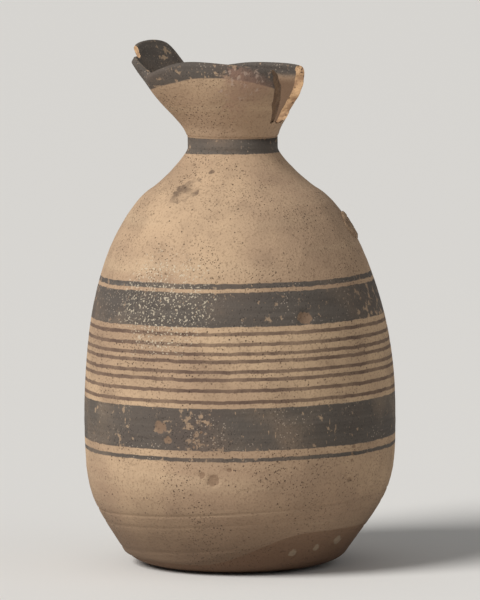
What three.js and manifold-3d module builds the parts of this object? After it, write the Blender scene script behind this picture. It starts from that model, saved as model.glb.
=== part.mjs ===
// A wheel-made clay jug with a pinched mouth and a raised spout, about 300 mm tall and 180 mm across.
// It stands on Z = 0 with the middle of its belly over the origin, and +Z is up.
// The spout points along -X. The handle stood near +X, and is lost: it took a piece of the mouth with it.
// Lengths are in millimetres and angles in degrees.

import * as THREE from "three";
import { mergeVertices } from "three/addons/utils/BufferGeometryUtils.js";
import Module from "manifold-3d";

const wasm = await Module();
wasm.setup();

// Outline of the body, from the foot to the joint under the mouth
const baseRadius = 46;
const turnRadius = 64.5; // where the trimmed underside meets the wall
const turnHeight = 7.5;
const turnSlope = 56;
const bellyRadius = 90;
const bellyHeight = 88.5;
const shoulderRadius = 48; // where the shoulder lies flattest
const shoulderHeight = 216.5;
const shoulderSlope = 31.5;
const throatRadius = 26.2;
const throatHeight = 240;
const jointHeight = 246.2; // top of the body's collar, on the outside

// Walls
const bodyWall = 5;
const neckWall = 4.6;
const floorThickness = 8;

// How far the wheel's axis has sagged sideways at a few heights, towards swayAngle
const swayAngle = 24;
const footSway = -2.9;
const bellySway = 0;
const shoulderSway = -2.4;
const neckSway = -4.3;

// Slanted joint between collar and mouth, bedded in luting clay
const clearance = 0.3;
const luteThickness = 1;
const scarfDrop = 4.5;
const smearReach = 8; // luting clay wiped over the inside, above and below the joint
const smearThickness = 1.6;
const smearEdge = 0.6;

// The mouth's lip: how far its middle reaches from the neck's axis, at angles counted from the spout
const rimHeight = 284;
const spoutReach = 58.5;
const spoutRise = 13;
const flankAngle = 22;
const flankReach = 56;
const nearFlankRise = 5.5; // the two flanks of the spout were bent up unevenly
const farFlankRise = 12.5;
const pinchAngle = 36;
const pinchReach = 47;
const pinchDip = 4;
const lobeAngle = 50;
const lobeReach = 52.5;
const lobeDip = 3;
const crestAngle = 75;
const crestReach = 46.5;
const nearCrestRise = 4;
const farCrestRise = 0.5;
const sideAngle = 112;
const sideReach = 41.5;
const nearSideRise = 3;
const farSideRise = 1;
const backAngle = 146;
const backReach = 40.8;

// The mouth as it was thrown, before the fingers shaped its lip: a flare that leans towards the spout
const thrownReach = 46;
const thrownLead = 6;
const flareStart = 0.45; // slopes of the flare's outline at the joint and at the lip
const flareEnd = 0.5;

// The gap left in the mouth where the handle tore out, at angles counted from +X
const gapNearAngle = -36;
const gapFarAngle = 41;
const gapFloorHeight = 254.8;
const gapFloorRise = 5; // the floor's far end is higher
const gapNearLean = 15; // how much closer together the edges are at the floor
const gapFarLean = 6;
const gapTwist = 9; // the broken faces run askew through the wall
const gapRoughness = 0.9;

// Chip off the tip of the spout
const chipRadius = 8;
const chipDepth = 4.4;
const chipAngle = -11;
const chipHeight = 294;

// Root of the lost handle, keyed into the shoulder and broken off almost flush
const rootAngle = 20;
const rootHeight = 196;
const rootWidth = 26;
const rootLength = 17;
const rootKey = 2; // depth into the wall
const rootProud = 1;
const rootCrumble = 1.6; // how far the broken top falls in from the root's edge
const rootRoughness = 0.45;

// Fineness
const bodySegments = 64;
const lipSegments = 88;
const stretchSteps = 8;

const point = (x, y) => new THREE.Vector2(x, y);
const radians = THREE.MathUtils.degToRad;

const clay = new THREE.MeshStandardMaterial({ color: 0xb99a78, roughness: 0.85, metalness: 0 });
const mouthClay = new THREE.MeshStandardMaterial({ color: 0xb0937a, roughness: 0.82, metalness: 0 });
const luteClay = new THREE.MeshStandardMaterial({ color: 0xa88a6c, roughness: 0.92, metalness: 0 });
const brokenClay = new THREE.MeshStandardMaterial({ color: 0xc9986a, roughness: 0.95, metalness: 0 });

// The axis sags smoothly from the foot to the joint, and the mouth stands straight above it.
const sway = new THREE.SplineCurve([
  point(footSway, 0),
  point(bellySway, bellyHeight * 0.75),
  point(bellySway, bellyHeight * 1.15),
  point(shoulderSway, shoulderHeight * 0.9),
  point(neckSway, jointHeight),
]);
const swaySteps = sway.getPoints(200);

function swayAt(height) {
  if (height <= 0) return footSway;
  const above = swaySteps.findIndex((p) => p.y >= height);
  if (above < 0) return neckSway;
  if (above === 0) return footSway;
  const low = swaySteps[above - 1];
  const high = swaySteps[above];
  return THREE.MathUtils.mapLinear(height, low.y, high.y, low.x, high.x);
}

// Moves every point of a geometry from the straight axis onto the sagged one.
function sag(geometry) {
  const at = geometry.getAttribute("position");
  for (let i = 0; i < at.count; i++) {
    const shift = swayAt(at.getZ(i));
    at.setX(i, at.getX(i) + shift * Math.cos(radians(swayAngle)));
    at.setY(i, at.getY(i) + shift * Math.sin(radians(swayAngle)));
  }
  return geometry;
}

// A point at a radius, an angle from +X and a height.
function around(radius, angle, height) {
  return new THREE.Vector3(radius * Math.cos(radians(angle)), radius * Math.sin(radians(angle)), height);
}

function toSolid(geometry) {
  const bare = geometry.clone();
  bare.deleteAttribute("normal");
  bare.deleteAttribute("uv");
  const merged = mergeVertices(bare, 1e-4);
  const vertProperties = new Float32Array(merged.getAttribute("position").array);
  const triVerts = new Uint32Array(merged.index.array);
  return new wasm.Manifold(new wasm.Mesh({ numProp: 3, vertProperties, triVerts }));
}

function toGeometry(solid) {
  const { vertProperties, triVerts } = solid.getMesh();
  const geometry = new THREE.BufferGeometry();
  geometry.setAttribute("position", new THREE.BufferAttribute(vertProperties, 3));
  geometry.setIndex(new THREE.BufferAttribute(triVerts, 1));
  geometry.computeVertexNormals();
  return geometry;
}

// Joins loops of points into a skin. Each loop is closed, and the loops run on from each other.
// The last loop meets the first when the skin is a ring, and otherwise both ends get a cap.
function skin(loops, isRing) {
  const count = loops[0].length;
  const positions = loops.flat().flatMap((p) => [p.x, p.y, p.z]);
  const indices = [];
  const spans = isRing ? loops.length : loops.length - 1;
  for (let j = 0; j < spans; j++) {
    const here = j * count;
    const next = ((j + 1) % loops.length) * count;
    for (let i = 0; i < count; i++) {
      const k = (i + 1) % count;
      indices.push(here + i, here + k, next + k, here + i, next + k, next + i);
    }
  }
  if (!isRing) {
    for (const [start, turned] of [[0, true], [(loops.length - 1) * count, false]]) {
      const middle = positions.length / 3;
      const loop = start ? loops[loops.length - 1] : loops[0];
      const centre = loop.reduce((sum, p) => sum.add(p), new THREE.Vector3()).divideScalar(count);
      positions.push(centre.x, centre.y, centre.z);
      for (let i = 0; i < count; i++) {
        const k = (i + 1) % count;
        if (turned) indices.push(middle, start + k, start + i);
        else indices.push(middle, start + i, start + k);
      }
    }
  }
  const geometry = new THREE.BufferGeometry();
  geometry.setAttribute("position", new THREE.Float32BufferAttribute(positions, 3));
  geometry.setIndex(indices);
  geometry.computeVertexNormals();
  return geometry;
}

function revolve(profile, segments) {
  return new THREE.LatheGeometry(profile, segments).rotateX(Math.PI / 2);
}

// A stretch of outline between two points, leaving and arriving at set slopes above the horizontal.
// A slope over 90 leans in towards the axis. The holds say how long it keeps to each slope.
function stretch(from, fromSlope, fromHold, to, toSlope, toHold) {
  const span = to.y - from.y;
  const leave = point(Math.cos(radians(fromSlope)), Math.sin(radians(fromSlope)));
  const arrive = point(Math.cos(radians(toSlope)), Math.sin(radians(toSlope)));
  return new THREE.CubicBezierCurve(
    from,
    from.clone().addScaledVector(leave, span * fromHold),
    to.clone().addScaledVector(arrive, -span * toHold),
    to,
  );
}

const upright = 90;
const turn = point(turnRadius, turnHeight);
const belly = point(bellyRadius, bellyHeight);
const shoulder = point(shoulderRadius, shoulderHeight);
const throat = point(throatRadius, throatHeight);
const foot = stretch(point(baseRadius, 0), 8, 1.1, turn, turnSlope, 0.65);
const lowerWall = stretch(turn, turnSlope, 0.5, belly, upright, 0.58);
const upperWall = stretch(belly, upright, 0.56, shoulder, 180 - shoulderSlope, 0.16);
const collarWall = stretch(shoulder, 180 - shoulderSlope, 0.34, throat, upright, 0.17);

// The wall thins from the belly's thickness to the neck's over the shoulder.
function wallAt(height) {
  const share = THREE.MathUtils.smoothstep(height, bellyHeight, throatHeight);
  return THREE.MathUtils.lerp(bodyWall, neckWall, share);
}

// The inside of a stretch, from its top down.
function insideOf(curve, steps) {
  const inside = [];
  for (let i = steps; i >= 0; i--) {
    const at = curve.getPoint(i / steps);
    const along = curve.getTangent(i / steps);
    inside.push(point(at.x - along.y * wallAt(at.y), at.y + along.x * wallAt(at.y)));
  }
  return inside;
}

// The thrown body: floor, belly, shoulder and collar in one piece, open at the top.
function bodyShape() {
  const throatInside = throatRadius - neckWall;
  const innerTurn = insideOf(lowerWall, 1)[1];
  const floor = stretch(point(baseRadius, floorThickness), 0, 1.5, innerTurn, turnSlope, 0.6);
  const profile = [
    point(0, 0),
    ...foot.getPoints(4),
    ...lowerWall.getPoints(stretchSteps).slice(1),
    ...upperWall.getPoints(stretchSteps + 4).slice(1),
    ...collarWall.getPoints(4).slice(1),
    point(throatRadius, scarfAt(throatRadius)),
    point(throatInside, scarfAt(throatInside)),
    ...insideOf(collarWall, 4),
    ...insideOf(upperWall, stretchSteps + 2).slice(1),
    ...insideOf(lowerWall, stretchSteps - 1).slice(1),
    ...floor.getPoints(3).reverse().slice(1),
    point(0, floorThickness),
  ];
  const shell = toSolid(sag(revolve(profile, bodySegments)));
  return toGeometry(shell.subtract(toSolid(handleKey(clearance))));
}

// The point of a stretch of outline at a height, and the way that the outline runs there.
function onOutline(curve, height) {
  const steps = 200;
  const misses = curve.getPoints(steps).map((p) => Math.abs(p.y - height));
  const place = misses.indexOf(Math.min(...misses)) / steps;
  return { at: curve.getPoint(place), along: curve.getTangent(place) };
}

// The shape of the handle's root: an oval pad whose broken top is uneven, set square to the shoulder.
// With a margin it is the socket that the root sits in.
function handleKey(margin) {
  const steps = 24;
  const isSocket = margin > 0;
  const { at, along } = onOutline(upperWall, rootHeight);
  const centre = around(at.x, rootAngle, at.y).add(around(swayAt(rootHeight), swayAngle, 0));
  const side = around(1, rootAngle + 90, 0);
  const up = around(along.x, rootAngle, along.y);
  const out = around(along.y, rootAngle, -along.x);
  const levels = isSocket ? [-rootKey - margin, rootProud + rootKey] : [-rootKey, 0, rootProud];
  const loops = levels.map((level, j) => {
    const isBrokenTop = !isSocket && j === levels.length - 1;
    const grown = margin - (isBrokenTop ? rootCrumble : 0);
    const loop = [];
    for (let i = 0; i < steps; i++) {
      const bearing = (i / steps) * 2 * Math.PI;
      const bumps = Math.sin(3 * bearing + 1) + 0.7 * Math.sin(7 * bearing);
      const height = isBrokenTop ? level + rootRoughness * bumps : level;
      loop.push(
        centre
          .clone()
          .addScaledVector(side, Math.cos(bearing) * (rootWidth / 2 + grown))
          .addScaledVector(up, Math.sin(bearing) * (rootLength / 2 + grown))
          .addScaledVector(out, height),
      );
    }
    return loop;
  });
  return skin(loops, false);
}

// Height of the collar's slanted top at a radius.
function scarfAt(radius) {
  return jointHeight - (scarfDrop * (throatRadius - radius)) / neckWall;
}

// Luting clay: a thin bed in the slanted joint, running into a smear wiped over the inside.
function luteShape() {
  const shown = throatRadius - clearance;
  const wiped = throatRadius - neckWall - clearance;
  const bedBottom = (radius) => scarfAt(radius) + clearance;
  const bedTop = (radius) => bedBottom(radius) + luteThickness;
  const middle = bedBottom(wiped) + luteThickness / 2;
  const profile = [
    point(shown, bedBottom(shown)),
    point(shown, bedTop(shown)),
    point(wiped, bedTop(wiped)),
    point(wiped, middle + smearReach),
    point(wiped - smearEdge, middle + smearReach),
    point(wiped - smearThickness, middle + smearReach * 0.4),
    point(wiped - smearThickness, middle - smearReach * 0.4),
    point(wiped - smearEdge, middle - smearReach),
    point(wiped, middle - smearReach),
    point(wiped, bedBottom(wiped)),
    point(shown, bedBottom(shown)),
  ];
  return sag(revolve(profile, bodySegments));
}

// The lip's middle line, through the places where the potter's fingers pulled and pinched it.
const lipLine = new THREE.CatmullRomCurve3(
  [
    [0, spoutReach, spoutRise],
    [flankAngle, flankReach, farFlankRise],
    [pinchAngle, pinchReach, -pinchDip],
    [lobeAngle, lobeReach, -lobeDip],
    [crestAngle, crestReach, farCrestRise],
    [sideAngle, sideReach, farSideRise],
    [backAngle, backReach, 0],
    [180, backReach, 0],
    [-backAngle, backReach, 0],
    [-sideAngle, sideReach, nearSideRise],
    [-crestAngle, crestReach, nearCrestRise],
    [-lobeAngle, lobeReach, -lobeDip],
    [-pinchAngle, pinchReach, -pinchDip],
    [-flankAngle, flankReach, nearFlankRise],
  ].map(([angle, reach, rise]) => around(reach, 180 - angle, rimHeight + rise)),
  true,
);

const mouthFoot = jointHeight + luteThickness + 2 * clearance;

// Share of the flare reached at a share of the way up, as a cubic that keeps both end slopes.
function flareAt(share) {
  const square = share * share;
  const cube = square * share;
  return 3 * square - 2 * cube + flareStart * (cube - 2 * square + share) + flareEnd * (cube - square);
}

// The middle of the mouth's wall at an angle from the spout: the thrown flare, pulled out or pressed in
// towards the lip's own reach, mostly near the lip.
function wallMiddle(angle, reach, top, share) {
  const start = throatRadius - neckWall / 2;
  const thrown = thrownReach + (thrownLead * (1 + Math.cos(radians(angle)))) / 2;
  const pull = (reach - thrown) * share ** 3;
  return point(start + (thrown - start) * flareAt(share) + pull, mouthFoot + (top - mouthFoot) * share);
}

// Points round the wall's section: up the outside, over the rounded lip and down the inside.
function wallSection(angle, reach, top) {
  const rises = 9;
  const nudge = 0.01;
  const half = neckWall / 2;
  const outside = [];
  const inside = [];
  const lip = [];
  for (let i = 1; i <= rises; i++) {
    const share = i / rises;
    const middle = wallMiddle(angle, reach, top, share);
    const above = wallMiddle(angle, reach, top, share + nudge);
    const below = wallMiddle(angle, reach, top, share - nudge);
    const along = above.sub(below).setLength(half);
    const across = point(along.y, -along.x);
    outside.push(middle.clone().add(across));
    inside.unshift(middle.clone().sub(across));
    if (i < rises) continue;
    for (const lipAngle of [45, 90, 135].map(radians)) {
      const over = middle.clone().addScaledVector(across, Math.cos(lipAngle));
      lip.push(over.addScaledVector(along, Math.sin(lipAngle)));
    }
  }
  return [
    point(throatRadius, mouthFoot),
    ...outside,
    ...lip,
    ...inside,
    point(throatRadius - neckWall, mouthFoot - scarfDrop),
  ];
}

// The mouth: a flared wall from the slanted joint up to the pinched lip, before anything broke off.
function wholeMouth() {
  const lip = lipLine.getSpacedPoints(lipSegments).slice(0, -1);
  const sections = lip.map((p) => {
    const angle = THREE.MathUtils.radToDeg(Math.atan2(p.y, p.x));
    return wallSection(180 - angle, Math.hypot(p.x, p.y), p.z).map((q) => around(q.x, angle, q.y));
  });
  const loops = sections[0].map((_, j) => sections.map((section) => section[j]).reverse());
  return skin(loops, true);
}

// Small steps back and forth along a broken edge.
function roughAt(place) {
  return gapRoughness * (0.6 * Math.sin(place * 1.9) + 0.4 * Math.sin(place * 4.7 + 1));
}

// What tore out with the handle: a piece that narrows to the floor of the gap, askew through the wall.
function tornPiece() {
  const steps = 8;
  const overTop = rimHeight + 12;
  const nearFoot = gapNearAngle + gapNearLean;
  const farFoot = gapFarAngle - gapFarLean;
  const farFloor = gapFloorHeight + gapFloorRise;
  const nearEdge = [];
  const farEdge = [];
  const floor = [];
  for (let i = 0; i <= steps; i++) {
    const share = i / steps;
    const lean = (1 - share) ** 2;
    nearEdge.push({
      angle: gapNearAngle + gapNearLean * lean + roughAt(i),
      height: THREE.MathUtils.lerp(gapFloorHeight, overTop, share),
    });
    farEdge.unshift({
      angle: gapFarAngle - gapFarLean * lean + roughAt(i + 20),
      height: THREE.MathUtils.lerp(farFloor, overTop, share),
    });
    if (i > 0 && i < steps) {
      floor.push({
        angle: THREE.MathUtils.lerp(farFoot, nearFoot, share),
        height: gapFloorHeight + gapFloorRise * (1 - share) ** 3 + roughAt(i + 40),
      });
    }
  }
  const edges = [...nearEdge, ...farEdge, ...floor].reverse();
  const layers = [
    { twist: gapTwist, radius: () => throatRadius / 2 },
    { twist: gapTwist, radius: (outside) => outside - neckWall * 1.2 },
    { twist: 0, radius: (outside) => outside + clearance },
    { twist: 0, radius: () => spoutReach },
  ];
  const loops = layers.map(({ twist, radius }) =>
    edges.map(({ angle, height }) => {
      const share = THREE.MathUtils.clamp((height - mouthFoot) / (rimHeight - mouthFoot), 0, 1);
      const outside = wallMiddle(180, backReach, rimHeight, share).x + neckWall / 2;
      return around(radius(outside), angle + twist * share, height);
    }),
  );
  return skin(loops, false);
}

function mouthShape() {
  const chip = new THREE.SphereGeometry(chipRadius, 16, 10);
  const chipCentre = around(spoutReach + neckWall / 2 + chipRadius - chipDepth, 180 - chipAngle, chipHeight);
  chip.translate(chipCentre.x, chipCentre.y, chipCentre.z);
  const broken = toSolid(wholeMouth()).subtract(toSolid(tornPiece())).subtract(toSolid(chip));
  return sag(toGeometry(broken));
}

function piece(name, geometry, material) {
  const mesh = new THREE.Mesh(geometry, material);
  mesh.name = name;
  return mesh;
}

const jug = new THREE.Group();
jug.add(
  piece("body", bodyShape(), clay),
  piece("neck", mouthShape(), mouthClay),
  piece("neck_lute", luteShape(), luteClay),
  piece("handle_root", handleKey(0), brokenClay),
);

export default jug;
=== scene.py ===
import math
import random

import bmesh
import bpy
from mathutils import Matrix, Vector, noise
from mathutils.bvhtree import BVHTree


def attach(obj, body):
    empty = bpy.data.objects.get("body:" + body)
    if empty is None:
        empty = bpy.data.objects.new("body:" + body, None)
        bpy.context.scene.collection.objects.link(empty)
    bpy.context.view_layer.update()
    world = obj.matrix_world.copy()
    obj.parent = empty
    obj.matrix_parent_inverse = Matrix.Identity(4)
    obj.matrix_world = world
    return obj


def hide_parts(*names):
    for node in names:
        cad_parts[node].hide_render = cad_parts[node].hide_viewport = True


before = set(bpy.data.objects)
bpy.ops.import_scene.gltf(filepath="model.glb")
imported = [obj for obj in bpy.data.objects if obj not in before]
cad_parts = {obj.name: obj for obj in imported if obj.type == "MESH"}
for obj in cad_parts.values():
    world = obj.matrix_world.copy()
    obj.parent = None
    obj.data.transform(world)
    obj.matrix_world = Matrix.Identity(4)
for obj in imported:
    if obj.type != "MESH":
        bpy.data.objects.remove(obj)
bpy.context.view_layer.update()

# Body
# The thrown jug from its trimmed base to the short collar, in buff clay with dark matt bands painted on.
# It is thrown in one piece, so its foot, belly and shoulder are a single wall, open at the top.
BASE_RADIUS = 0.046
FLOOR_THICKNESS = 0.008
TURN = Vector((0.0645, 0.0075))  # radius and height where the foot turns up into the wall
TURN_SLOPE = 56
BELLY = Vector((0.090, 0.0885))
SHOULDER = Vector((0.048, 0.2165))
SHOULDER_SLOPE = 31.5
THROAT = Vector((0.0262, 0.240))
COLLAR_TOP = 0.2462
UPRIGHT = 90
BODY_WALL = 0.005
NECK_WALL = 0.0046
SCARF_DROP = 0.0045  # how far the joint under the mouth slants down to the inside
BODY_SEGMENTS = 320

# The outline's first rows get no wear up to this height, so that the jug rests flat
RESTING_ROWS = 3
RESTING_HEIGHT = 0.0004

SIDE_ANGLE = 24  # the side, from +X, along which the soft jug sagged and to which its lines rise
SWAYS = [(0, -0.0029), (0.066, 0), (0.102, 0), (0.195, -0.0024), (0.2462, -0.0043)]  # height, sag

# Traces of throwing and trimming
RIDGE_DEPTH = 0.00022
RIDGES_A_METRE = 260
WOBBLE_DEPTH = 0.0005
SCORE_LINES = [(0.0385, 0.0005), (0.0315, 0.0003), (0.0165, 0.0005)]  # turned grooves: height, depth
SCORE_WIDTH = 0.0006
SCORE_RISE = 0.006
TRIM_LOW = 0.0065  # the foot is trimmed below an edge that climbs from here
TRIM_RISE = 0.0195
TRIM_EDGE = 0.0005
TRIM_DEPTH = 0.0013
TRIM_FADE = 0.006

# Chips, each an angle from +X, a height, a radius and a depth
CHIPS = [
    (-39, 0.1485, 0.0052, 0.0011),
    (-96, 0.0870, 0.0042, 0.0008),
    (-93, 0.0800, 0.0026, 0.0006),
    (-80, 0.0850, 0.0012, 0.0005),
    (-83, 0.0766, 0.0013, 0.0005),
    (-76, 0.0575, 0.0042, 0.0010),
    (-80, 0.0610, 0.0022, 0.0006),
    (-70, 0.0640, 0.0018, 0.0008),
    (-21, 0.0560, 0.0017, 0.0014),
    (-20, 0.0745, 0.0014, 0.0007),
    (-20.5, 0.0705, 0.0015, 0.0008),
    (-20.8, 0.0665, 0.0013, 0.0007),
]
SCATTERED_PITS = 110
PIT_SEED = 7
PIT_HEIGHTS = (0.02, 0.235)
PIT_RADII = (0.0005, 0.0012)
PIT_DEPTH = 0.0006
LUMPS = [(-37, 0.0127, 0.0032), (-24, 0.0147, 0.0030), (-11, 0.0175, 0.0040)]  # lime: angle, height, radius
LUMP_RISE = 0.0009


def between(low, high, share):
    return low + (high - low) * share


def smooth(low, high, value):
    share = min(max((value - low) / (high - low), 0), 1)
    return share * share * (3 - 2 * share)


def around(radius, angle, height):
    """A point at a radius, an angle from +X in degrees and a height."""
    return Vector((radius * math.cos(math.radians(angle)), radius * math.sin(math.radians(angle)), height))


def sway_at(height):
    """How far the axis has sagged at a height."""
    for (low, low_sway), (high, high_sway) in zip(SWAYS, SWAYS[1:]):
        if height <= high:
            return between(low_sway, high_sway, smooth(low, high, height))
    return SWAYS[-1][1]


def sag(place):
    """Moves a point from the straight axis onto the sagged one."""
    return place + around(sway_at(place.z), SIDE_ANGLE, 0)


def stretch(start, start_slope, start_hold, end, end_slope, end_hold, count):
    """Points along the outline from start to end, leaving and arriving at set slopes."""
    span = end.y - start.y
    leave = Vector((math.cos(math.radians(start_slope)), math.sin(math.radians(start_slope))))
    arrive = Vector((math.cos(math.radians(end_slope)), math.sin(math.radians(end_slope))))
    handle = start + leave * span * start_hold
    other = end - arrive * span * end_hold
    points = []
    for i in range(count + 1):
        t = i / count
        u = 1 - t
        points.append(start * u**3 + handle * (3 * u * u * t) + other * (3 * u * t * t) + end * t**3)
    return points


def offset_inwards(points):
    """The inside of a run of outline, a wall's thickness in from it."""
    inside = []
    for i, place in enumerate(points):
        along = (points[min(i + 1, len(points) - 1)] - points[max(i - 1, 0)]).normalized()
        wall = between(BODY_WALL, NECK_WALL, smooth(BELLY.y, THROAT.y, place.y))
        inside.append(place + Vector((-along.y, along.x)) * wall)
    return inside


def new_piece(name, verts, faces):
    """A mesh object in the jug's own frame, shaded smooth."""
    mesh = bpy.data.meshes.new(name)
    mesh.from_pydata([tuple(v) for v in verts], [], faces)
    mesh.update()
    mesh.shade_smooth()
    piece = bpy.data.objects.new(name, mesh)
    bpy.context.scene.collection.objects.link(piece)
    return piece


def grid_faces(rows, columns, is_ring):
    """Faces that join rows of points, each row a closed loop. A ring's last row meets its first."""
    faces = []
    for j in range(rows if is_ring else rows - 1):
        here = j * columns
        above = ((j + 1) % rows) * columns
        for i in range(columns):
            k = (i + 1) % columns
            faces.append((here + i, here + k, above + k, above + i))
    return faces


# The outline, from the edge of the base up to the collar, as radius and height
foot = stretch(Vector((BASE_RADIUS, 0)), 8, 1.1, TURN, TURN_SLOPE, 0.65, 14)
lower_wall = stretch(TURN, TURN_SLOPE, 0.5, BELLY, UPRIGHT, 0.58, 100)
upper_wall = stretch(BELLY, UPRIGHT, 0.56, SHOULDER, 180 - SHOULDER_SLOPE, 0.16, 100)
collar_wall = stretch(SHOULDER, 180 - SHOULDER_SLOPE, 0.34, THROAT, UPRIGHT, 0.17, 26)
OUTSIDE = foot + lower_wall[1:] + upper_wall[1:] + collar_wall[1:] + [Vector((THROAT.x, COLLAR_TOP))]


def radius_at(height):
    """Radius of the body's outside at a height."""
    for low, high in zip(OUTSIDE, OUTSIDE[1:]):
        if low.y <= height <= high.y:
            return between(low.x, high.x, (height - low.y) / (high.y - low.y))
    return THROAT.x


def place_on_wall(angle, height):
    """Where a mark lies on the sagged wall."""
    return sag(around(radius_at(height), angle, height))


def wear_depth(place, angle, height):
    """How far the wall's outside lies below the thrown shape at a place."""
    ridge = noise.noise(Vector((0, angle / 700, height * RIDGES_A_METRE)))
    wobble = noise.noise(place * 22) + 0.4 * noise.noise(place * 70)
    depth = RIDGE_DEPTH * (1 + ridge) / 2 + WOBBLE_DEPTH * (1.4 + wobble) / 2.8
    across = math.cos(math.radians(angle - SIDE_ANGLE))
    for line_height, line_depth in SCORE_LINES:
        miss = (height - line_height - SCORE_RISE * across) / SCORE_WIDTH
        depth += line_depth * math.exp(-miss * miss)
    below_edge = TRIM_LOW + TRIM_RISE * smooth(-0.5, 0.65, across) - height
    trimmed_off = smooth(-TRIM_EDGE, TRIM_EDGE, below_edge) * smooth(0, TRIM_FADE, height)
    depth += TRIM_DEPTH * trimmed_off * (1 - smooth(0.78, 0.97, across))
    return depth


def chip_depth(place, chips):
    """How deep chips and pits go at a place."""
    depth = 0
    for centre, radius, chip in chips:
        gap = (place - centre).length / radius
        if gap < 1.3:
            edge = 1 + 0.35 * noise.noise(place * 600)
            depth = max(depth, chip * (1 - smooth(0.55 * edge, 1.0 * edge, gap)))
    return depth


scatter = random.Random(PIT_SEED)
pits = [
    (scatter.uniform(-180, 180), scatter.uniform(*PIT_HEIGHTS), scatter.uniform(*PIT_RADII), PIT_DEPTH)
    for _ in range(SCATTERED_PITS)
]
chips = [
    (place_on_wall(angle, height), radius, depth)
    for angle, height, radius, depth in CHIPS + pits
]
lumps = [(place_on_wall(angle, height), radius) for angle, height, radius in LUMPS]

verts = []
for row, outline in enumerate(OUTSIDE):
    near_chips = [chip for chip in chips if abs(chip[0].z - outline.y) < 2 * chip[1]]
    near_lumps = [lump for lump in lumps if abs(lump[0].z - outline.y) < 2 * lump[1]]
    for i in range(BODY_SEGMENTS):
        angle = 360 * i / BODY_SEGMENTS
        place = sag(around(outline.x, angle, outline.y))
        depth = wear_depth(place, angle, outline.y) + chip_depth(place, near_chips)
        for centre, radius in near_lumps:
            depth -= LUMP_RISE * (1 - smooth(0.3, 1, (place - centre).length / radius))
        if outline.y < RESTING_HEIGHT and row < RESTING_ROWS:
            depth = 0
        verts.append(sag(around(outline.x - depth, angle, outline.y)))

# The inside is plain, so it takes fewer rows than the outside
inner_turn = offset_inwards(lower_wall)[0]
floor_inside = stretch(Vector((BASE_RADIUS, FLOOR_THICKNESS)), 0, 1.5, inner_turn, TURN_SLOPE, 0.6, 8)
inside = [Vector((THROAT.x - NECK_WALL, COLLAR_TOP - SCARF_DROP))]
inside += offset_inwards(collar_wall)[::-3]
inside += offset_inwards(upper_wall)[-3::-6]
inside += offset_inwards(lower_wall)[-7::-9]
inside += floor_inside[::-1][1:]
for outline in inside:
    for i in range(BODY_SEGMENTS):
        verts.append(sag(around(outline.x, 360 * i / BODY_SEGMENTS, outline.y)))

# A fan of faces closes the underside, and another the floor inside
rows = len(OUTSIDE) + len(inside)
faces = grid_faces(rows, BODY_SEGMENTS, False)
for first, height, turned in ((0, 0, True), ((rows - 1) * BODY_SEGMENTS, FLOOR_THICKNESS, False)):
    middle = len(verts)
    verts.append(sag(Vector((0, 0, height))))
    for i in range(BODY_SEGMENTS):
        k = (i + 1) % BODY_SEGMENTS
        faces.append((middle, first + k, first + i) if turned else (middle, first + i, first + k))
body = new_piece("jug_body", verts, faces)


class Wiring:
    """Short names for the shader nodes that the materials use, in one node tree."""

    def __init__(self, tree):
        self.tree = tree

    def put(self, socket, value):
        """Links a socket to another, or sets its value."""
        if isinstance(value, bpy.types.NodeSocket):
            self.tree.links.new(value, socket)
        else:
            socket.default_value = value

    def node(self, kind, **inputs):
        made = self.tree.nodes.new(kind)
        for name, value in inputs.items():
            self.put(made.inputs[name.replace("_", " ")], value)
        return made

    def group(self, tree, **inputs):
        made = self.tree.nodes.new("ShaderNodeGroup")
        made.node_tree = tree
        for name, value in inputs.items():
            self.put(made.inputs[name], value)
        return made.outputs

    def place(self):
        """Where a point of the surface lies."""
        return self.node("ShaderNodeTexCoord").outputs["Object"]

    def parts(self, place):
        """The X, Y and Z of a place."""
        return self.node("ShaderNodeSeparateXYZ", Vector=place).outputs

    def vectors(self, operation, first, second):
        made = self.tree.nodes.new("ShaderNodeVectorMath")
        made.operation = operation
        self.put(made.inputs[0], first)
        self.put(made.inputs[1], second)
        return made.outputs

    def squeeze(self, place, x, y, z):
        """A place with each direction scaled, for streaks and flat layers of noise."""
        return self.vectors("MULTIPLY", place, (x, y, z))["Vector"]

    def maths(self, operation, first, second):
        made = self.tree.nodes.new("ShaderNodeMath")
        made.operation = operation
        self.put(made.inputs[0], first)
        self.put(made.inputs[1], second)
        return made.outputs[0]

    def plus(self, first, second):
        return self.maths("ADD", first, second)

    def minus(self, first, second):
        return self.maths("SUBTRACT", first, second)

    def times(self, first, second):
        return self.maths("MULTIPLY", first, second)

    def larger(self, first, second):
        return self.maths("MAXIMUM", first, second)

    def fade(self, value, low, high):
        """0 at low and 1 at high, eased. With low above high it falls instead."""
        made = self.node("ShaderNodeMapRange", Value=value, From_Min=low, From_Max=high)
        made.interpolation_type = "SMOOTHSTEP"
        return made.outputs["Result"]

    def blend(self, factor, first, second):
        """From the first colour towards the second."""
        made = self.tree.nodes.new("ShaderNodeMix")
        made.data_type = "RGBA"
        self.put(made.inputs[6], first)
        self.put(made.inputs[7], second)
        self.put(made.inputs[0], factor)
        return made.outputs[2]

    def noise(self, place, scale, detail):
        return self.node("ShaderNodeTexNoise", Vector=place, Scale=scale, Detail=detail).outputs[0]

    def specks(self, place, scale, size):
        """Small round dots, one in each cell."""
        cells = self.node("ShaderNodeTexVoronoi", Vector=place, Scale=scale)
        return self.minus(1.0, self.fade(cells.outputs["Distance"], size * 0.6, size))


def colour(red, green, blue):
    """Linear colour from the usual values up to 255, none of them under 11."""
    return (*[((value / 255 + 0.055) / 1.055) ** 2.4 for value in (red, green, blue)], 1.0)


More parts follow.
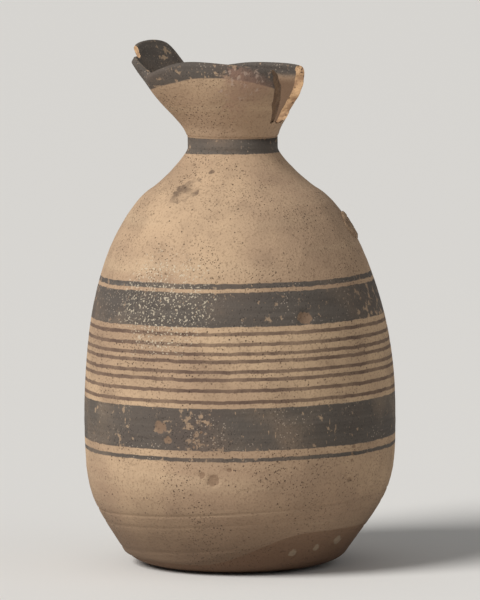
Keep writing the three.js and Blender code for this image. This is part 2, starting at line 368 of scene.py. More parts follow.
def new_group(name, inputs, outputs):
    """A node group, its input node and its output node."""
    tree = bpy.data.node_groups.new(name, "ShaderNodeTree")
    for socket, kind in inputs.items():
        tree.interface.new_socket(socket, in_out="INPUT", socket_type=kind)
    for socket, kind in outputs.items():
        tree.interface.new_socket(socket, in_out="OUTPUT", socket_type=kind)
    return tree, tree.nodes.new("NodeGroupInput"), tree.nodes.new("NodeGroupOutput")


# Mottled clay, the ground of every piece. From here on, w wires the tree that is being made.
BUFF = colour(190, 161, 130)
DULL_BUFF = colour(170, 142, 116)
DUN_PATCH = colour(150, 125, 102)
PALE_STREAK = colour(200, 174, 142)
GRAIN_SHADE = colour(126, 102, 80)
PORE_DARK = colour(78, 62, 50)
FINE_PORE_DARK = colour(92, 70, 54)
clay_tree, _, clay_out = new_group(
    "Mottled clay", {}, {"Color": "NodeSocketColor", "Height": "NodeSocketFloat"}
)
w = Wiring(clay_tree)
place = w.place()
broad = w.fade(w.noise(place, 13.0, 3.0), 0.4, 0.62)
patches = w.fade(w.noise(place, 42.0, 6.0), 0.42, 0.68)
streaks = w.fade(w.noise(w.squeeze(place, 6.0, 6.0, 90.0), 1.0, 4.0), 0.5, 0.75)
grain = w.noise(place, 760.0, 6.0)
pores = w.times(w.specks(place, 300.0, 0.17), w.fade(w.noise(place, 30.0, 2.0), 0.45, 0.6))
fine_pores = w.times(w.specks(place, 620.0, 0.25), w.fade(w.noise(place, 40.0, 4.0), 0.42, 0.6))
tone = w.blend(broad, BUFF, DULL_BUFF)
tone = w.blend(w.times(patches, 0.55), tone, DUN_PATCH)
tone = w.blend(w.times(streaks, 0.4), tone, PALE_STREAK)
tone = w.blend(w.times(w.fade(grain, 0.5, 0.7), 0.5), tone, GRAIN_SHADE)
tone = w.blend(w.times(pores, 0.75), tone, PORE_DARK)
tone = w.blend(w.times(fine_pores, 0.7), tone, FINE_PORE_DARK)
w.put(clay_out.inputs["Color"], tone)
rough = w.minus(w.times(grain, 0.5), w.times(w.larger(pores, fine_pores), 0.9))
w.put(clay_out.inputs["Height"], w.plus(rough, w.times(w.noise(place, 160.0, 4.0), 0.6)))

# Matt paint, rubbed, flaked and scratched, put over whatever its mask covers
FULL_PAINT = colour(62, 57, 53)
THIN_PAINT = colour(96, 90, 84)
BROWN_PAINT = colour(84, 75, 69)
PALE_SPECK = colour(184, 168, 150)
paint_tree, paint_in, paint_out = new_group(
    "Worn paint",
    {"Ground": "NodeSocketColor", "Mask": "NodeSocketFloat", "Wear": "NodeSocketFloat"},
    {"Color": "NodeSocketColor", "Cover": "NodeSocketFloat"},
)
w = Wiring(paint_tree)
place = w.place()
wear = paint_in.outputs["Wear"]
region = w.times(w.fade(w.noise(place, 17.0, 4.0), 0.45, 0.65), 0.1)
eased = w.plus(w.times(wear, 0.16), region)
worn = w.fade(w.plus(w.noise(place, 240.0, 7.0), eased), 0.66, 0.74)
flaked = w.fade(w.plus(w.noise(place, 150.0, 6.0), eased), 0.76, 0.79)
rubbed = w.fade(w.plus(w.noise(place, 26.0, 5.0), w.times(wear, 0.2)), 0.5, 0.85)
scratched = w.fade(w.noise(w.squeeze(place, 900.0, 900.0, 260.0), 1.0, 2.0), 0.68, 0.74)
lost = w.larger(w.times(worn, 0.6), w.times(rubbed, 0.3))
lost = w.larger(lost, w.times(flaked, 0.7))
lost = w.larger(lost, w.times(scratched, 0.7))
cover = w.times(paint_in.outputs["Mask"], w.minus(0.95, lost))
brushed = w.noise(w.squeeze(place, 20.0, 20.0, 420.0), 1.0, 3.0)
pale = w.times(w.specks(place, 560.0, 0.26), w.fade(w.noise(place, 50.0, 4.0), 0.46, 0.62))
tone = w.blend(brushed, FULL_PAINT, THIN_PAINT)
tone = w.blend(w.fade(w.noise(place, 18.0, 3.0), 0.45, 0.7), tone, BROWN_PAINT)
tone = w.blend(w.times(pale, 0.6), tone, PALE_SPECK)
w.put(paint_out.inputs["Color"], w.blend(cover, paint_in.outputs["Ground"], tone))
w.put(paint_out.inputs["Cover"], cover)

# A round mark with a ragged edge
mark_tree, mark_in, mark_out = new_group(
    "Ragged mark", {"Centre": "NodeSocketVector", "Radius": "NodeSocketFloat"}, {"Mask": "NodeSocketFloat"}
)
w = Wiring(mark_tree)
away = w.vectors("DISTANCE", w.place(), mark_in.outputs["Centre"])["Value"]
share = w.maths("DIVIDE", away, mark_in.outputs["Radius"])
ragged = w.plus(share, w.times(w.noise(w.place(), 300.0, 5.0), 1.3))
w.put(mark_out.inputs["Mask"], w.minus(1.0, w.fade(ragged, 1.35, 1.6)))


def marks(wiring, places):
    """One mask for many ragged marks, each a place and a radius."""
    mask = 0.0
    for centre, radius in places:
        one = wiring.group(mark_tree, Centre=tuple(centre), Radius=radius)["Mask"]
        mask = wiring.larger(mask, one)
    return mask


# Painted bands, as the heights of their lower and upper edges, and the thin lines between them
BODY_BANDS = [(0.0688, 0.0710), (0.0750, 0.0990), (0.1442, 0.1632), (0.1653, 0.1681), (0.2372, 0.2480)]
FINE_LINE = 0.0020
FINE_LINES = [0.1025, 0.1089, 0.1150, 0.1194, 0.1252, 0.1294, 0.1346, 0.1404]
FINE_BANDS = [(height - FINE_LINE / 2, height + FINE_LINE / 2) for height in FINE_LINES]
BAND_EDGE = 0.0003
BAND_TILT = 0.017
BRUSH_SWAY = 0.0022
BRUSH_SHAKE = 0.0014


def side_reach(wiring, parts):
    """How far a point lies from the axis towards the side that the lines rise to."""
    along_x = wiring.times(parts["X"], math.cos(math.radians(SIDE_ANGLE)))
    along_y = wiring.times(parts["Y"], math.sin(math.radians(SIDE_ANGLE)))
    return wiring.plus(along_x, along_y)


def painted_height(wiring):
    """Height along the jug as the painter's lines run: tilted a little and unsteady."""
    place = wiring.place()
    parts = wiring.parts(place)
    level = wiring.minus(parts["Z"], wiring.times(side_reach(wiring, parts), BAND_TILT))
    slow = wiring.times(wiring.noise(wiring.squeeze(place, 1.0, 1.0, 0.3), 14.0, 2.0), BRUSH_SWAY)
    quick = wiring.times(wiring.noise(place, 190.0, 4.0), BRUSH_SHAKE)
    return wiring.minus(wiring.plus(level, wiring.plus(slow, quick)), (BRUSH_SWAY + BRUSH_SHAKE) / 2)


def band_mask(wiring, bands):
    """One mask for a set of painted bands."""
    height = painted_height(wiring)
    mask = 0.0
    for low, high in bands:
        above = wiring.fade(height, low - BAND_EDGE, low + BAND_EDGE)
        below = wiring.fade(height, high + BAND_EDGE, high - BAND_EDGE)
        mask = wiring.larger(mask, wiring.times(above, below))
    return mask


def new_material(name):
    """A material, its wiring and its Principled BSDF."""
    material = bpy.data.materials.new(name)
    material.use_nodes = True
    shader = material.node_tree.nodes["Principled BSDF"]
    shader.inputs["Specular IOR Level"].default_value = 0.25
    return material, Wiring(material.node_tree), shader


def rough_normal(wiring, height, distance):
    """A normal roughened by a height, as deep as distance in metres."""
    return wiring.node("ShaderNodeBump", Height=height, Distance=distance, Strength=1.0).outputs["Normal"]


# Stains are soaked in, each an angle, a height and a radius. One patch of the upper band is worn to specks.
STAINS = [(-102, 0.2170, 0.0110), (-98, 0.2205, 0.0070), (-87, 0.2280, 0.0022), (-87, 0.1830, 0.0032)]
SPECKLED_PATCH = (-98, 0.1560, 0.034)
CLAY_RELIEF = 0.0005
# Painted shade: the lower wall darkens towards the foot
FOOT_SHADE = colour(98, 79, 64)
TRIMMED_CLAY = colour(92, 60, 40)
LINE_BROWN = colour(80, 62, 56)
STAIN_BROWN = colour(84, 68, 58)
BARE_SPECK = colour(198, 184, 160)
CHIPPED_CLAY = colour(136, 110, 88)
LIME = colour(142, 126, 106)

body_material, w, shader = new_material("painted clay")
clay = w.group(clay_tree)
place = w.place()
parts = w.parts(place)
low = w.plus(parts["Z"], w.times(w.noise(place, 20.0, 5.0), 0.05))
# Painted shade, darkening the wall from the lower belly down to the foot
ground = w.blend(w.times(w.fade(low, 0.095, 0.03), 0.85), clay["Color"], FOOT_SHADE)
edge_level = w.plus(TRIM_LOW, w.times(w.fade(side_reach(w, parts), -0.025, 0.042), TRIM_RISE))
trimmed_off = w.fade(w.minus(edge_level, parts["Z"]), 0.0, 2 * TRIM_EDGE)
ground = w.blend(w.times(trimmed_off, 0.4), ground, TRIMMED_CLAY)
line_paint = w.minus(0.88, w.times(w.fade(w.noise(place, 70.0, 6.0), 0.2, 0.75), 0.3))
ground = w.blend(w.times(band_mask(w, FINE_BANDS), line_paint), ground, LINE_BROWN)
painted = w.group(paint_tree, Ground=ground, Mask=band_mask(w, BODY_BANDS), Wear=0.2)
stained = marks(w, [(place_on_wall(angle, height), radius) for angle, height, radius in STAINS])
stained = w.times(stained, w.fade(w.noise(place, 120.0, 6.0), 0.36, 0.66))
patch_angle, patch_height, patch_radius = SPECKLED_PATCH
speckled = marks(w, [(place_on_wall(patch_angle, patch_height), patch_radius)])
speckled = w.times(speckled, w.fade(w.noise(place, 820.0, 4.0), 0.57, 0.62))
chipped = marks(w, [(centre, radius) for centre, radius, _ in chips[: len(CHIPS)]])
tone = w.blend(w.times(stained, 0.7), painted["Color"], STAIN_BROWN)
tone = w.blend(w.times(speckled, 0.8), tone, BARE_SPECK)
tone = w.blend(w.times(chipped, 0.82), tone, CHIPPED_CLAY)
tone = w.blend(w.times(marks(w, lumps), 0.7), tone, LIME)
w.put(shader.inputs["Base Color"], tone)
w.put(shader.inputs["Roughness"], w.minus(0.9, w.times(painted["Cover"], 0.12)))
w.put(shader.inputs["Normal"], rough_normal(w, clay["Height"], CLAY_RELIEF))
body.data.materials.append(body_material)
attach(body, "root")
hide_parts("body")

# Mouth
# The flared mouth with its raised spout, thrown apart, pinched while soft and set on the collar.
# A piece of it tore out with the handle, which left rough edges, and a chip is gone from the spout.
MOUTH_FOOT = 0.2471
RIM_HEIGHT = 0.28385
BACK_REACH = 0.0408
LIP_STATIONS = [  # angle from the spout, reach of the lip's middle, rise over the rim's height
    (0, 0.0585, 0.013),
    (22, 0.056, 0.0125),
    (36, 0.047, -0.004),
    (50, 0.0525, -0.003),
    (75, 0.0465, 0.0005),
    (112, 0.0415, 0.001),
    (146, BACK_REACH, 0),
    (180, BACK_REACH, 0),
    (-146, BACK_REACH, 0),
    (-112, 0.0415, 0.003),
    (-75, 0.0465, 0.004),
    (-50, 0.0525, -0.003),
    (-36, 0.047, -0.004),
    (-22, 0.056, 0.0055),
]
LIP_STEPS = 18  # segments of lip between two stations
WALL_STEPS = 26
LIP_ARC_STEPS = 8
WALL_NUDGE = 0.01  # the wall's slope is taken over this share of it, up and down
THROWN_REACH = 0.046  # reach of the rim as thrown, before it was pinched
THROWN_LEAD = 0.006  # how much further it reached at the spout
FLARE_START = 0.45
FLARE_END = 0.5
MOUTH_WOBBLE = 0.0005
WOBBLE_START = 0.006  # the wobble comes in over this height, so that the joint stays true


def lip_between(before, start, end, after, share):
    """A point of the lip between two stations, as a centripetal spline through four of them."""
    d0 = math.sqrt((start - before).length)
    d1 = math.sqrt((end - start).length)
    d2 = math.sqrt((after - end).length)
    leave = ((start - before) / d0 - (end - before) / (d0 + d1) + (end - start) / d1) * d1
    arrive = ((end - start) / d1 - (after - start) / (d1 + d2) + (after - end) / d2) * d1
    square = share * share
    cube = square * share
    rest = end * (3 * square - 2 * cube) + start * (2 * cube - 3 * square + 1)
    return rest + leave * (cube - 2 * square + share) + arrive * (cube - square)


def flare_at(share):
    """Share of the flare reached at a share of the way up."""
    square = share * share
    cube = square * share
    return 3 * square - 2 * cube + FLARE_START * (cube - 2 * square + share) + FLARE_END * (cube - square)


def wall_middle(angle, reach, top, share):
    """The middle of the mouth's wall, as a reach and a height."""
    start = THROAT.x - NECK_WALL / 2
    thrown = THROWN_REACH + THROWN_LEAD * (1 + math.cos(math.radians(angle))) / 2
    pull = (reach - thrown) * share**3
    height = MOUTH_FOOT + (top - MOUTH_FOOT) * share
    return Vector((start + (thrown - start) * flare_at(share) + pull, height))


def wall_section(angle, reach, top):
    """Points up the outside of the wall, over the rounded lip and down the inside."""
    outside = [Vector((THROAT.x, MOUTH_FOOT))]
    inside = [Vector((THROAT.x - NECK_WALL, MOUTH_FOOT - SCARF_DROP))]
    lip = []
    for i in range(1, WALL_STEPS + 1):
        share = i / WALL_STEPS
        middle = wall_middle(angle, reach, top, share)
        above = wall_middle(angle, reach, top, share + WALL_NUDGE)
        along = (above - wall_middle(angle, reach, top, share - WALL_NUDGE)).normalized() * NECK_WALL / 2
        across = Vector((along.y, -along.x))
        outside.append(middle + across)
        inside.append(middle - across)
    for i in range(1, LIP_ARC_STEPS):
        turn = math.pi * i / LIP_ARC_STEPS
        lip.append(middle + across * math.cos(turn) + along * math.sin(turn))
    return outside + lip + inside[::-1]


stations = [around(reach, 180 - angle, RIM_HEIGHT + rise) for angle, reach, rise in LIP_STATIONS]
columns = []
for i in range(len(stations)):
    four = [stations[(i + step) % len(stations)] for step in (-1, 0, 1, 2)]
    for step in range(LIP_STEPS):
        on_lip = lip_between(*four, step / LIP_STEPS)
        angle = math.degrees(math.atan2(on_lip.y, on_lip.x))
        section = wall_section(180 - angle, math.hypot(on_lip.x, on_lip.y), on_lip.z)
        column = []
        for reach, height in section:
            place = around(reach, angle, height)
            depth = MOUTH_WOBBLE * (noise.noise(place * 60) + 0.5 * noise.noise(place * 190) + 1.2) / 2
            is_outside = len(column) < len(section) / 2
            shift = -depth if is_outside else depth
            share = smooth(MOUTH_FOOT, MOUTH_FOOT + WOBBLE_START, height)
            column.append(around(reach + shift * share, angle, height))
        columns.append(column)
mouth_rows = len(columns[0])
verts = [column[j] for j in range(mouth_rows) for column in reversed(columns)]
mouth = new_piece("jug_mouth", verts, grid_faces(mouth_rows, len(columns), True))

# The piece that tore out with the handle, cut from the wall as a rough block. Its broken faces run askew.
GAP_NEAR_ANGLE = -36
GAP_FAR_ANGLE = 41
GAP_NEAR_LEAN = 15
GAP_FAR_LEAN = 6
GAP_FLOOR = 0.2548
GAP_FLOOR_RISE = 0.005
GAP_TOP = RIM_HEIGHT + 0.012
GAP_TWIST = 9
GAP_FLOOR_TWIST = 25
GAP_TWIST_LIMIT = 1.3
GAP_STEPS = 44
GAP_LAYERS = 26
GAP_ROUGHNESS = 0.00045
GAP_INWARDS = 0.012
GAP_OUTWARDS = 0.004
GAP_FAR_REACH = 0.062  # the block's outer end, clear of the wall all along its straight chord
EDGE_RUN = 8  # how far along the rough line one edge runs
BREAK_SEED = 7
BREAK_DEPTH = 0.00004  # a face this far below the whole wall is a broken one

# The chip in the spout, a rough scoop
CHIP_CENTRE = around(0.0680, 195, 0.2925)
CHIP_RADIUS = 0.014
CHIP_ROUGHNESS = 0.0006


def rough_angle(step):
    """Small steps back and forth along a broken edge, in degrees."""
    return 0.9 * (0.6 * math.sin(step * 1.9) + 0.4 * math.sin(step * 4.7 + 1))


def end_faces(rows, columns):
    """One face across the first row of points and one across the last."""
    last = (rows - 1) * columns
    return [tuple(range(columns))[::-1], tuple(range(last, last + columns))]


noise.seed_set(BREAK_SEED)  # noise_vector, which roughens the breaks, else differs from run to run
near_edge, far_edge, gap_floor = [], [], []  # each point an angle, a height and a twist
near_foot = GAP_NEAR_ANGLE + GAP_NEAR_LEAN
far_foot = GAP_FAR_ANGLE - GAP_FAR_LEAN
for i in range(GAP_STEPS + 1):
    share = i / GAP_STEPS
    lean = (1 - share) ** 2
    run = EDGE_RUN * share
    near_angle = GAP_NEAR_ANGLE + GAP_NEAR_LEAN * lean + rough_angle(run)
    near_twist = between(GAP_FLOOR_TWIST, GAP_TWIST, min(share * 1.4, 1))
    near_edge.append((near_angle, between(GAP_FLOOR, GAP_TOP, share), near_twist))
    far_angle = GAP_FAR_ANGLE - GAP_FAR_LEAN * lean + rough_angle(run + 20)
    far_edge.insert(0, (far_angle, between(GAP_FLOOR + GAP_FLOOR_RISE, GAP_TOP, share), GAP_TWIST * share))
    if 0 < i < GAP_STEPS:
        floor_height = GAP_FLOOR + GAP_FLOOR_RISE * (1 - share) ** 3 + 0.001 * rough_angle(run + 40)
        gap_floor.append((between(far_foot, near_foot, share), floor_height, GAP_FLOOR_TWIST * share))
edges = (near_edge + far_edge + gap_floor)[::-1]
verts = []
for layer in range(GAP_LAYERS + 1):
    for angle, height, askew in edges:
        share = min(max((height - MOUTH_FOOT) / (RIM_HEIGHT - MOUTH_FOOT), 0), 1)
        outer = wall_middle(180, BACK_REACH, RIM_HEIGHT, share).x + NECK_WALL / 2
        reach = between(outer - GAP_INWARDS, outer + GAP_OUTWARDS, layer / GAP_LAYERS)
        if layer == GAP_LAYERS:
            reach = GAP_FAR_REACH
        twist = askew * min(max((outer - reach) / NECK_WALL, 0), GAP_TWIST_LIMIT)
        place = around(reach, angle + twist, height)
        jitter = noise.noise_vector(place * 300) + 0.25 * noise.noise_vector(place * 900)
        verts.append(place + jitter * GAP_ROUGHNESS)
faces = grid_faces(GAP_LAYERS + 1, len(edges), False) + end_faces(GAP_LAYERS + 1, len(edges))
torn = new_piece("torn_piece", verts, faces)

chip_mesh = bmesh.new()
bmesh.ops.create_icosphere(chip_mesh, subdivisions=6, radius=CHIP_RADIUS)
for vert in chip_mesh.verts:
    vert.co += CHIP_CENTRE
    vert.co += noise.noise_vector(vert.co * 400) * CHIP_ROUGHNESS
chip = new_piece("spout_chip", [], [])
chip_mesh.to_mesh(chip.data)
chip_mesh.free()

# Both are cut away, and what then lies below the whole wall is marked as broken, flat shaded clay
whole = BVHTree.FromObject(mouth, bpy.context.evaluated_depsgraph_get())
for cutter in (torn, chip):
    cut = mouth.modifiers.new(cutter.name, "BOOLEAN")
    cut.operation = "DIFFERENCE"
    cut.solver = "MANIFOLD"
    cut.object = cutter
shaped = bpy.data.meshes.new_from_object(mouth.evaluated_get(bpy.context.evaluated_depsgraph_get()))
mouth.modifiers.clear()
mouth.data = shaped
for cutter in (torn, chip):
    bpy.data.objects.remove(cutter)
shaped.materials.clear()
mark = shaped.color_attributes.new("broken", "FLOAT_COLOR", "CORNER")
for face in shaped.polygons:
    is_broken = whole.find_nearest(face.center)[3] > BREAK_DEPTH
    face.use_smooth = not is_broken
    face.material_index = 0
    shade = 1.0 if is_broken else 0.0
    for loop in face.loop_indices:
        mark.data[loop].color = (shade, shade, shade, 1.0)
for vert in shaped.vertices:
    vert.co = sag(vert.co)

# The rim's coat of paint. Its lower edge is highest near the middle of the photographed side.
RIM_BAND_LOW = 0.2815
RIM_BAND_CURVE = 5.5
RIM_BAND_PEAK = -0.014
RIM_BAND_WOBBLE = 0.0026
RIM_BAND_EDGE = 0.0005
INNER_BAND = (0.279, 0.283)  # inside, the coat fades in between these heights
SPOUT_COAT = 0.02  # in the spout it runs this much further down
PINK_CENTRE = sag(around(0.043, -50, 0.2725))
PINK_RADIUS = 0.022
SCRAPED_CENTRE = PINK_CENTRE + Vector((-0.006, -0.002, 0.009))
SCRAPED_RADIUS = 0.017
PINK = colour(158, 122, 104)
SCRAPED = colour(178, 154, 138)
RAW_CLAY = colour(198, 160, 120)
RAW_SHADE = colour(150, 116, 88)
RAW_PIT = colour(92, 70, 52)
# Painted shade and old dirt on the broken faces of the near edge
SHADE_AND_DIRT = colour(88, 66, 50)
# Painted shade over the brown clay deeper inside the mouth
INSIDE_SHADE_BROWN = colour(90, 66, 48)

mouth_material, w, shader = new_material("mouth clay")
clay = w.group(clay_tree)
place = w.place()
parts = w.parts(place)
across = w.minus(side_reach(w, parts), RIM_BAND_PEAK)
drop = w.times(w.times(across, across), RIM_BAND_CURVE)
edge_wobble = w.times(w.noise(place, 60.0, 5.0), RIM_BAND_WOBBLE)
level = w.plus(w.plus(parts["Z"], drop), w.minus(edge_wobble, RIM_BAND_WOBBLE / 2))
outer_band = w.fade(level, RIM_BAND_LOW - RIM_BAND_EDGE, RIM_BAND_LOW + RIM_BAND_EDGE)

# The inside is where the surface faces the axis
outwards = w.node("ShaderNodeCombineXYZ", X=parts["X"], Y=parts["Y"]).outputs["Vector"]
normal = w.node("ShaderNodeNewGeometry").outputs["Normal"]
is_inner = w.fade(w.vectors("DOT_PRODUCT", normal, outwards)["Value"], 0.004, -0.004)
at_spout = w.times(w.fade(parts["X"], 0.0, -0.03), SPOUT_COAT)
inner_level = w.plus(w.plus(parts["Z"], edge_wobble), at_spout)
inner_band = w.times(is_inner, w.fade(inner_level, *INNER_BAND))
coat = w.larger(w.times(outer_band, w.minus(1.0, is_inner)), inner_band)
painted = w.group(paint_tree, Ground=clay["Color"], Mask=coat, Wear=0.05)
flushed = w.fade(w.noise(place, 32.0, 5.0), 0.42, 0.6)
pink = w.times(marks(w, [(PINK_CENTRE, PINK_RADIUS)]), flushed)
scratches = w.fade(w.noise(w.squeeze(place, 420.0, 420.0, 300.0), 1.0, 5.0), 0.56, 0.64)
scraped = w.times(marks(w, [(SCRAPED_CENTRE, SCRAPED_RADIUS)]), scratches)
# Below the coat the inside darkens to brown: painted shade over the inside's own brown clay
deep_shade = w.times(is_inner, w.fade(parts["Z"], 0.283, 0.275))
tone = w.blend(w.times(pink, 0.6), painted["Color"], PINK)
tone = w.blend(w.times(scraped, 0.6), tone, SCRAPED)
tone = w.blend(w.times(deep_shade, 0.82), tone, INSIDE_SHADE_BROWN)

# Broken faces show raw clay. Those of the near edge are darkened, partly as painted shade and partly as old
# dirt
shade_and_dirt = w.times(w.fade(parts["Y"], 0.004, -0.006), w.fade(parts["X"], 0.0, 0.01))
raw_clay = w.blend(w.fade(w.noise(place, 150.0, 6.0), 0.35, 0.65), RAW_CLAY, RAW_SHADE)
raw_clay = w.blend(w.fade(w.noise(place, 520.0, 3.0), 0.6, 0.7), raw_clay, RAW_PIT)
raw_clay = w.blend(w.times(shade_and_dirt, 0.8), raw_clay, SHADE_AND_DIRT)
is_torn = w.node("ShaderNodeAttribute")
is_torn.attribute_name = "broken"
w.put(shader.inputs["Base Color"], w.blend(is_torn.outputs["Fac"], tone, raw_clay))
w.put(shader.inputs["Roughness"], w.minus(0.9, w.times(painted["Cover"], 0.15)))
w.put(shader.inputs["Normal"], rough_normal(w, clay["Height"], CLAY_RELIEF))
shaped.materials.append(mouth_material)
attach(mouth, "root")
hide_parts("neck")

# Luting clay
# A thin bed of soft clay that joins the mouth to the collar, wiped over the joint on the inside.
# It fills the slanted joint, and outside it shows only as a fine line under the flare.
LUTE_SEGMENTS = 192
LUTE_INSET = 0.0003
LUTE_PLAY = 0.0002  # room between the lute and the walls that it joins
LUTE_UNEVEN = 0.0003
SMEAR_REACH = 0.008
SMEAR_THICKNESS = 0.0016
SMEAR_MIDDLE = COLLAR_TOP - SCARF_DROP + 0.0008
LUTE_BROWN = colour(120, 96, 76)
wiped = THROAT.x - NECK_WALL
lute_outline = [
    (THROAT.x - LUTE_INSET, COLLAR_TOP - LUTE_PLAY),
    (THROAT.x - LUTE_INSET, MOUTH_FOOT + LUTE_PLAY),
    (wiped, MOUTH_FOOT - SCARF_DROP + LUTE_PLAY),
    (wiped, SMEAR_MIDDLE + SMEAR_REACH),
    (wiped - SMEAR_THICKNESS / 2, SMEAR_MIDDLE + SMEAR_REACH * 0.85),
    (wiped - SMEAR_THICKNESS, SMEAR_MIDDLE + SMEAR_REACH * 0.4),
    (wiped - SMEAR_THICKNESS, SMEAR_MIDDLE - SMEAR_REACH * 0.4),
    (wiped - SMEAR_THICKNESS / 2, SMEAR_MIDDLE - SMEAR_REACH * 0.85),
    (wiped, SMEAR_MIDDLE - SMEAR_REACH),
    (wiped, COLLAR_TOP - SCARF_DROP - LUTE_PLAY),
]
verts = []
for reach, height in lute_outline:
    for i in range(LUTE_SEGMENTS):
        angle = 360 * i / LUTE_SEGMENTS
        uneven = LUTE_UNEVEN * noise.noise(around(4, angle, height * 90)) if reach < wiped else 0
        verts.append(sag(around(reach + uneven, angle, height)))
lute = new_piece("jug_lute", verts, grid_faces(len(lute_outline), LUTE_SEGMENTS, True))
lute_material, w, shader = new_material("luting clay")
clay = w.group(clay_tree)
w.put(shader.inputs["Base Color"], w.blend(0.5, clay["Color"], LUTE_BROWN))
shader.inputs["Roughness"].default_value = 0.92
w.put(shader.inputs["Normal"], rough_normal(w, clay["Height"], CLAY_RELIEF))
lute.data.materials.append(lute_material)
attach(lute, "root")
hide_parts("neck_lute")

# Handle root
# The stump of the strap handle, an oval of clay that was pressed into the shoulder and has broken off.
# Its rough top stands about a millimetre out of the wall, with a hole where a pebble fell out.
ROOT_ANGLE = 20
ROOT_HEIGHT = 0.196
ROOT_WIDTH = 0.0266
ROOT_LENGTH = 0.0176
ROOT_KEY = 0.002
ROOT_PROUD = 0.0009
ROOT_RINGS = 22
ROOT_STEPS = 72
ROOT_TIP = 0.985  # the last ring has shrunk by this share
ROOT_RELIEF = 0.0007
PEBBLE_HOLE = (0.004, 0.0035, 0.0022)  # across, up and radius
PEBBLE_DEPTH = 0.0019
SLOPE_STEP = 0.002
BREAK_PALE = colour(166, 138, 110)
BREAK_DARK = colour(108, 86, 68)
root_radius = radius_at(ROOT_HEIGHT)
root_centre = place_on_wall(ROOT_ANGLE, ROOT_HEIGHT)
step_in = radius_at(ROOT_HEIGHT + SLOPE_STEP) - radius_at(ROOT_HEIGHT - SLOPE_STEP)
wall_up = Vector((step_in, 2 * SLOPE_STEP)).normalized()
root_side = around(1, ROOT_ANGLE + 90, 0)
root_up = around(wall_up.x, ROOT_ANGLE, wall_up.y)
root_out = around(wall_up.y, ROOT_ANGLE, -wall_up.x)
verts = []
for ring in range(ROOT_RINGS + 1):
    for i in range(ROOT_STEPS):
        bearing = 2 * math.pi * i / ROOT_STEPS
        ragged = 1 + 0.05 * noise.noise(Vector((2 * math.cos(bearing), 2 * math.sin(bearing), 0)))
        spread = ragged * (1 if ring < 2 else 1 - (ring - 1) / (ROOT_RINGS - 1) * ROOT_TIP)
        across = math.cos(bearing) * ROOT_WIDTH / 2 * spread
        upwards = math.sin(bearing) * ROOT_LENGTH / 2 * spread
        bend = -across * across / (2 * root_radius)
        if ring == 0:
            lift = -ROOT_KEY
        else:
            coarse = noise.noise(Vector((across, upwards, 0)) * 420)
            bumps = coarse + 0.5 * noise.noise(Vector((across, upwards, 1)) * 1100)
            lift = ROOT_PROUD * (0.2 + 0.8 * min(1, (ring - 1) / 3)) * (0.75 + 0.6 * bumps)
        if ring > 1:
            away = math.hypot(across - PEBBLE_HOLE[0], upwards - PEBBLE_HOLE[1]) / PEBBLE_HOLE[2]
            lift -= PEBBLE_DEPTH * (1 - smooth(0.4, 1, away))
        verts.append(root_centre + root_side * across + root_up * upwards + root_out * (lift + bend))
faces = grid_faces(ROOT_RINGS + 1, ROOT_STEPS, False) + end_faces(ROOT_RINGS + 1, ROOT_STEPS)
root = new_piece("jug_handle_root", verts, faces)
root_material, w, shader = new_material("broken clay")
clay = w.group(clay_tree)
tone = w.blend(w.fade(w.noise(w.place(), 260.0, 5.0), 0.4, 0.62), BREAK_PALE, BREAK_DARK)
w.put(shader.inputs["Base Color"], w.blend(0.35, tone, clay["Color"]))
shader.inputs["Roughness"].default_value = 0.95
w.put(shader.inputs["Normal"], rough_normal(w, clay["Height"], ROOT_RELIEF))
root.data.materials.append(root_material)
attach(root, "root")
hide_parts("handle_root")

# Floor
# A plain pale floor under the jug, wide enough to fill every view.
# It isn't part of the jug.
FLOOR_HALF = 60.0
FLOOR_DROP = 0.0002
PALE_FLOOR = colour(226, 223, 218)
corners = [(x * FLOOR_HALF, y * FLOOR_HALF, -FLOOR_DROP) for x, y in ((-1, -1), (1, -1), (1, 1), (-1, 1))]
floor = new_piece("floor", corners, [(0, 1, 2, 3)])
floor_material, w, shader = new_material("pale floor")
shader.inputs["Base Color"].default_value = PALE_FLOOR
shader.inputs["Roughness"].default_value = 0.9
floor.data.materials.append(floor_material)

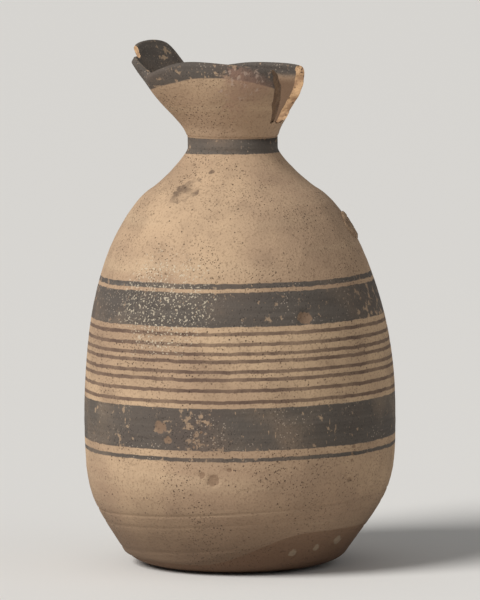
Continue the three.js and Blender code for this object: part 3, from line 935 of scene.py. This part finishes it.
# Light
# A broad soft light from the upper left of the camera, a weak one from the right, and a pale sky.
# Azimuths are counted from -Y, as the camera's is.
VIEW_ANGLE = 24
KEY_STRENGTH = 3.1
KEY_SOFTNESS = 28
KEY_AZIMUTH = VIEW_ANGLE - 52
KEY_ELEVATION = 40
KEY_DISTANCE = 2.0
FILL_POWER = 2.0
FILL_AZIMUTH = VIEW_ANGLE + 70
FILL_ELEVATION = 25
FILL_DISTANCE = 2.0
FILL_SIZE = 1.2
SKY_STRENGTH = 0.33
SKY = colour(236, 238, 240)
AIM = Vector((0, 0, 0.15))


def add_light(name, kind, azimuth, elevation, distance):
    """A light that faces the jug."""
    lamp = bpy.data.objects.new(name, bpy.data.lights.new(name, kind))
    level = math.cos(math.radians(elevation))
    way = around(level, azimuth - 90, math.sin(math.radians(elevation)))
    lamp.location = AIM + way * distance
    lamp.rotation_euler = way.to_track_quat("Z", "Y").to_euler()
    bpy.context.scene.collection.objects.link(lamp)
    return lamp.data


key = add_light("key", "SUN", KEY_AZIMUTH, KEY_ELEVATION, KEY_DISTANCE)
key.energy = KEY_STRENGTH
key.angle = math.radians(KEY_SOFTNESS)
fill = add_light("fill", "AREA", FILL_AZIMUTH, FILL_ELEVATION, FILL_DISTANCE)
fill.energy = FILL_POWER
fill.size = FILL_SIZE
world = bpy.data.worlds.new("pale sky")
world.use_nodes = True
world.node_tree.nodes["Background"].inputs["Color"].default_value = SKY
world.node_tree.nodes["Background"].inputs["Strength"].default_value = SKY_STRENGTH
bpy.context.scene.world = world

# Camera
# A long lens three metres away, with its eye a little above the jug.
# It looks from the side that the photograph shows, with the spout to the left.
CAMERA_DISTANCE = 3.0
EYE_HEIGHT = 0.420
AIM_HEIGHT = 0.1519
LENS = 314
SENSOR_WIDTH = 36
camera_data = bpy.data.cameras.new("camera")
camera_data.lens = LENS
camera_data.sensor_width = SENSOR_WIDTH
camera = bpy.data.objects.new("camera", camera_data)
eye = around(CAMERA_DISTANCE, VIEW_ANGLE - 90, EYE_HEIGHT)
camera.location = eye
camera.rotation_euler = (eye - Vector((0, 0, AIM_HEIGHT))).to_track_quat("Z", "Y").to_euler()
bpy.context.scene.collection.objects.link(camera)
bpy.context.scene.camera = camera
bpy.context.scene.view_settings.view_transform = "Standard"
